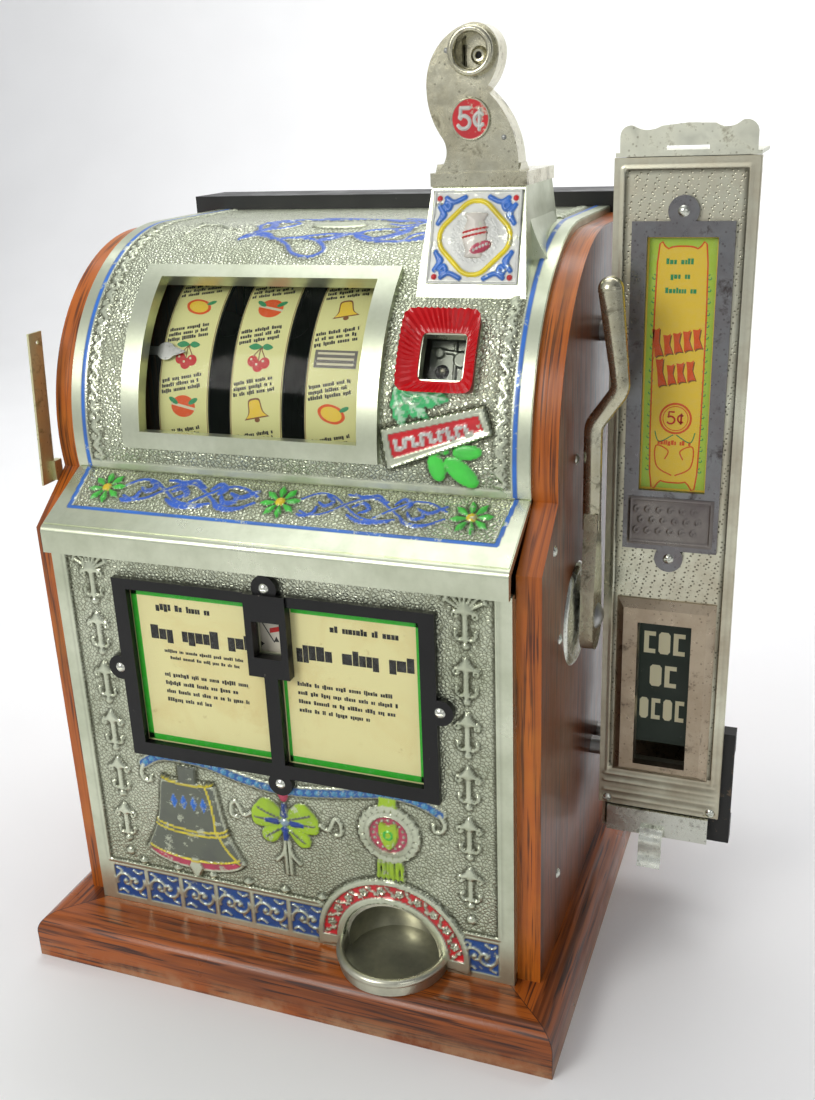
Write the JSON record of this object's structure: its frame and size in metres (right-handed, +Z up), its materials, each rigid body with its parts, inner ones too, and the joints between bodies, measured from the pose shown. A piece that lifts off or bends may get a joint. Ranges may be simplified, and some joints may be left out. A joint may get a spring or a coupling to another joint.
{
  "type": "slot machine",
  "caption": "Counter-top mechanical fruit machine in an oak cabinet with cast metal fronts, side pull handle, gooseneck coin head, reels and a side gum vendor.",
  "frame": {"origin": "centre of the underside of the oak plinth", "axes": "+X to the machine's right as seen by the player, +Y to the back, +Z up"},
  "size_m": [0.488, 0.386, 0.6418],
  "materials": {
    "oak": "varnished oak, worn along edges",
    "black_paint": "satin black",
    "cast_aluminium": "cast, hammered ground with polished borders",
    "nickel": "worn nickel plate",
    "clear_glass": "clear",
    "black_iron": "black enamel",
    "paper": "aged card",
    "steel": "plain steel",
    "brass": "aged",
    "drum_metal": "blackened",
    "worn_nickel": "worn nickel plate over brass"
  },
  "bodies": {
    "cabinet": {"base_plinth": "oak", "left_side_panel": "oak", "right_side_panel": "oak", "top_rear_cap": "black_paint", "mechanism_shelf": "oak", "lower_front_casting": "cast_aluminium", "step_casting": "cast_aluminium", "upper_front_casting": "cast_aluminium", "reel_window_glass": "clear_glass", "coin_window_glass": "clear_glass", "reel_pointer": "nickel", "coin_head_body": "nickel", "coin_entry_bezel": "nickel", "coin_chute": "steel", "coin_tube": "brass", "award_card_frame": "black_iron", "award_card_glass": "clear_glass", "award_cards": "paper", "payout_cup": "cast_aluminium", "payout_chute": "steel", "mechanism_base": "steel", "mechanism_side_plates": "steel", "mechanism_crossbars": "steel", "reel_shaft": "steel", "handle_bushing": "brass", "lever_escutcheon": "nickel", "handle_return_spring": "steel", "cash_box": "steel", "door_hinge_jamb_leaves": "brass", "vendor_case": "worn_nickel", "vendor_front_casting": "worn_nickel", "vendor_card_glass": "clear_glass", "vendor_card": "paper", "vendor_card_frame": "steel", "vendor_window_frame": "worn_nickel", "vendor_lock_bracket": "black_iron", "vendor_standoffs": "steel", "round_head_screws": "steel", "left_side_strip": "brass"},
    "handle": {"handle_arm": "nickel", "handle_shaft": "steel", "handle_crank": "steel"},
    "operating_slide": {"operating_slide": "steel"},
    "reel_left": {"reel_left_drum": "drum_metal", "reel_left_strip": "paper"},
    "reel_centre": {"reel_centre_drum": "drum_metal", "reel_centre_strip": "paper"},
    "reel_right": {"reel_right_drum": "drum_metal", "reel_right_strip": "paper"},
    "stop_lever_left": {"stop_lever_left": "steel"},
    "stop_lever_centre": {"stop_lever_centre": "steel"},
    "stop_lever_right": {"stop_lever_right": "steel"},
    "rear_door": {"back_door": "oak", "door_hinge_leaves": "brass", "door_lock_barrel": "brass"},
    "door_lock_cam": {"door_lock_cam": "brass"},
    "vendor_lid": {"vendor_lid": "nickel"},
    "vendor_pull_slide": {"vendor_pull_slide": "nickel"},
    "vendor_flag": {"vendor_flag": "worn_nickel"},
    "indicator_dial": {"indicator_dial": "paper"}
  },
  "joints": [
    {"name": "handle_pull", "type": "hinge", "parent": "cabinet", "child": "handle", "pos_m": [0.19, -0.052, 0.27], "axis": [1, 0, 0], "range_deg": [0, 70], "stiffness_Nm_per_rad": 0.7, "springref_deg": -31.51},
    {"name": "slide_drive", "type": "slide", "parent": "cabinet", "child": "operating_slide", "axis": [0, 1, 0], "range_m": [0, 0.039]},
    {"name": "reel_left_spin", "type": "hinge", "parent": "cabinet", "child": "reel_left", "pos_m": [-0.083, 0.016, 0.39], "axis": [1, 0, 0], "continuous": true},
    {"name": "reel_centre_spin", "type": "hinge", "parent": "cabinet", "child": "reel_centre", "pos_m": [-0.028, 0.016, 0.39], "axis": [1, 0, 0], "continuous": true},
    {"name": "reel_right_spin", "type": "hinge", "parent": "cabinet", "child": "reel_right", "pos_m": [0.027, 0.016, 0.39], "axis": [1, 0, 0], "continuous": true},
    {"name": "stop_lever_left_swing", "type": "hinge", "parent": "cabinet", "child": "stop_lever_left", "pos_m": [-0.108, 0.108, 0.3], "axis": [-1, 0, 0], "range_deg": [0, 2.8], "stiffness_Nm_per_rad": 0.05},
    {"name": "stop_lever_centre_swing", "type": "hinge", "parent": "cabinet", "child": "stop_lever_centre", "pos_m": [-0.053, 0.108, 0.3], "axis": [-1, 0, 0], "range_deg": [0, 2.8], "stiffness_Nm_per_rad": 0.05},
    {"name": "stop_lever_right_swing", "type": "hinge", "parent": "cabinet", "child": "stop_lever_right", "pos_m": [0.002, 0.108, 0.3], "axis": [-1, 0, 0], "range_deg": [0, 2.8], "stiffness_Nm_per_rad": 0.05},
    {"name": "rear_door_swing", "type": "hinge", "parent": "cabinet", "child": "rear_door", "pos_m": [-0.1643, 0.1694, 0.28], "axis": [0, 0, 1], "range_deg": [0, 110]},
    {"name": "door_lock_turn", "type": "hinge", "parent": "rear_door", "child": "door_lock_cam", "pos_m": [0.147, 0.152, 0.33], "axis": [0, -1, 0], "range_deg": [0, 90]},
    {"name": "vendor_lid_swing", "type": "hinge", "parent": "cabinet", "child": "vendor_lid", "pos_m": [0.233, 0.054, 0.562], "axis": [-1, 0, 0], "range_deg": [0, 100]},
    {"name": "vendor_slide_pull", "type": "slide", "parent": "cabinet", "child": "vendor_pull_slide", "axis": [0, -1, 0], "range_m": [0, 0.055]},
    {"name": "vendor_flag_travel", "type": "slide", "parent": "cabinet", "child": "vendor_flag", "axis": [0, 0, 1], "range_m": [0, 0.27]},
    {"name": "indicator_dial_turn", "type": "hinge", "parent": "cabinet", "child": "indicator_dial", "pos_m": [0, -0.144, 0.25], "axis": [0, 1, 0], "continuous": true}
  ],
  "couplings": [
    {"joint": "slide_drive", "follows": "handle_pull", "m_per_rad": 0.031924}
  ]
}
